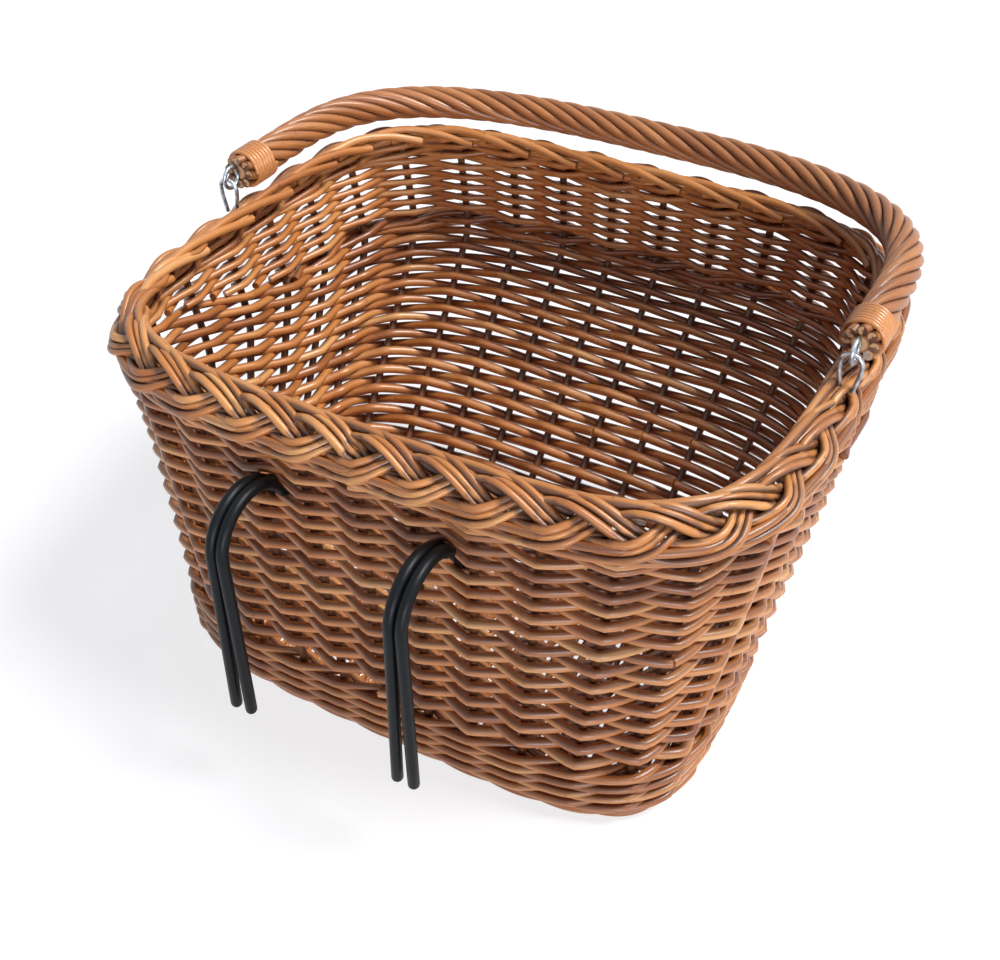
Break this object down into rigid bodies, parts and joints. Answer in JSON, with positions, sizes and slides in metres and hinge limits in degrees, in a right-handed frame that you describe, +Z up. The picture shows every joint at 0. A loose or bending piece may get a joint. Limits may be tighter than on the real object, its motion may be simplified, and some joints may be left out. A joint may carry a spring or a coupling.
{
  "type": "bicycle basket",
  "caption": "Rectangular wicker basket with a plaited rim, woven sides, a twisted carrying handle that swings on wire eyes, and coated steel hooks that hang it on a handlebar.",
  "frame": {"origin": "under the middle of the whole object's footprint, on the ground that the foot rod stands on", "axes": "+X along the basket's long side, -Y towards the bicycle and the hooks, +Z up"},
  "size_m": [0.4642, 0.449, 0.2895],
  "materials": {
    "stake_willow": "varnished willow",
    "woven_willow": "varnished willow",
    "plait_willow": "varnished willow",
    "base_willow": "varnished willow",
    "handle_willow": "varnished willow",
    "handle_core_willow": "cut willow",
    "cane": "glossy cane",
    "galvanised_wire": "galvanised",
    "hook_coating": "dipped coating on steel"
  },
  "bodies": {
    "basket": {"foot_rod": "base_willow", "base_mat": "base_willow", "stake_01": "stake_willow", "stake_02": "stake_willow", "stake_03": "stake_willow", "stake_04": "stake_willow", "stake_05": "stake_willow", "stake_06": "stake_willow", "stake_07": "stake_willow", "stake_08": "stake_willow", "stake_09": "stake_willow", "stake_10": "stake_willow", "stake_11": "stake_willow", "stake_12": "stake_willow", "stake_13": "stake_willow", "stake_14": "stake_willow", "stake_15": "stake_willow", "stake_16": "stake_willow", "stake_17": "stake_willow", "stake_18": "stake_willow", "stake_19": "stake_willow", "stake_20": "stake_willow", "stake_21": "stake_willow", "stake_22": "stake_willow", "stake_23": "stake_willow", "stake_24": "stake_willow", "stake_25": "stake_willow", "stake_26": "stake_willow", "stake_27": "stake_willow", "stake_28": "stake_willow", "stake_29": "stake_willow", "stake_30": "stake_willow", "stake_31": "stake_willow", "stake_32": "stake_willow", "stake_33": "stake_willow", "rim_strand_1": "plait_willow", "rim_strand_2": "plait_willow", "rim_strand_3": "plait_willow", "siding_1": "woven_willow", "siding_2": "woven_willow", "siding_3": "woven_willow", "siding_4": "woven_willow", "siding_5": "woven_willow", "hook_left": "hook_coating", "hook_right": "hook_coating", "rim_loop_left": "galvanised_wire", "rim_loop_right": "galvanised_wire"},
    "handle": {"handle_core": "handle_core_willow", "handle_rod_1": "handle_willow", "handle_rod_2": "handle_willow", "handle_rod_3": "handle_willow", "handle_rod_4": "handle_willow", "handle_rod_5": "handle_willow", "handle_rod_6": "handle_willow", "handle_rod_7": "handle_willow", "handle_rod_8": "handle_willow", "handle_lashing_left": "cane", "handle_lashing_right": "cane", "handle_eye_left": "galvanised_wire", "handle_eye_right": "galvanised_wire"}
  },
  "joints": [
    {"name": "handle_swing", "type": "hinge", "parent": "basket", "child": "handle", "pos_m": [0, 0.00525, 0.27585], "axis": [1, 0, 0], "range_deg": [0, 180]}
  ]
}
